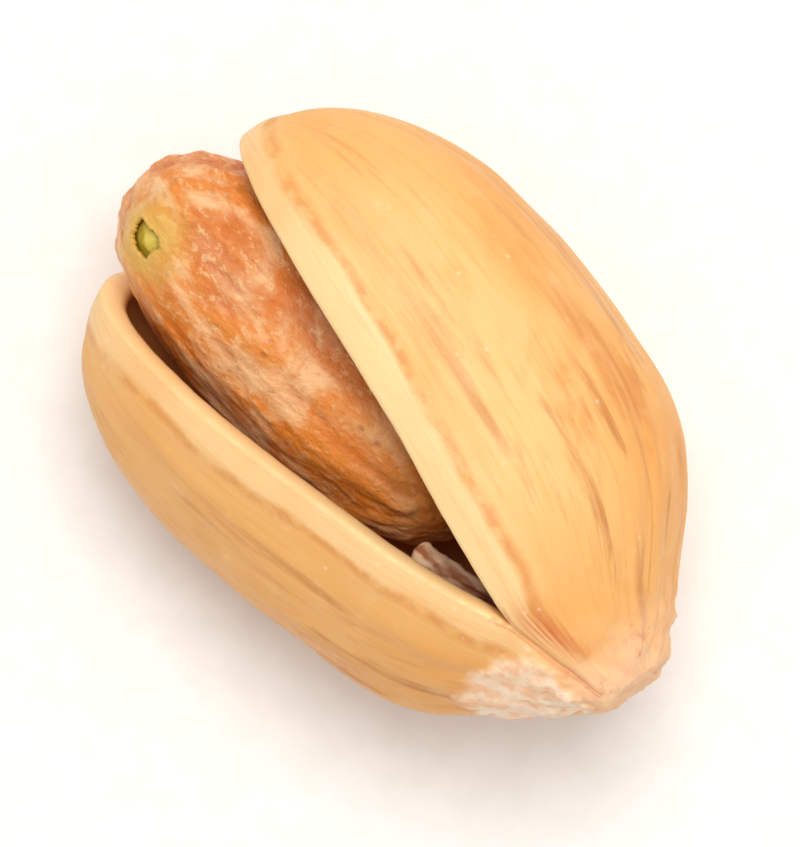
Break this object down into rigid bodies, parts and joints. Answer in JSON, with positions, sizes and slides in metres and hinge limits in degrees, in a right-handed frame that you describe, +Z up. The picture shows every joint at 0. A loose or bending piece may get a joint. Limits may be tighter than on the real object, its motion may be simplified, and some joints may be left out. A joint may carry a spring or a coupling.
{
  "type": "pistachio in shell",
  "caption": "Roasted pistachio in its open shell, lying on its side with the split facing up and the skinned green kernel showing between the valves.",
  "frame": {"origin": "centre of the bounding box at the level of the small resting flat under the shell", "axes": "+X along the nut from the stem scar to the tips of the valves, +Y towards the valve that the nut leans on, +Z up, through the split"},
  "size_m": [0.0216, 0.0148, 0.0125],
  "materials": {
    "shell_bone": "dry, satin, faintly ridged",
    "coat_skin": "papery, wrinkled",
    "kernel_flesh": "smooth, slightly oily",
    "stalk_fibre": "dry, fibrous"
  },
  "bodies": {
    "root": {"shell": "shell_bone", "seed_coat": "coat_skin", "kernel": "kernel_flesh", "seed_stalk": "stalk_fibre"}
  },
  "joints": []
}
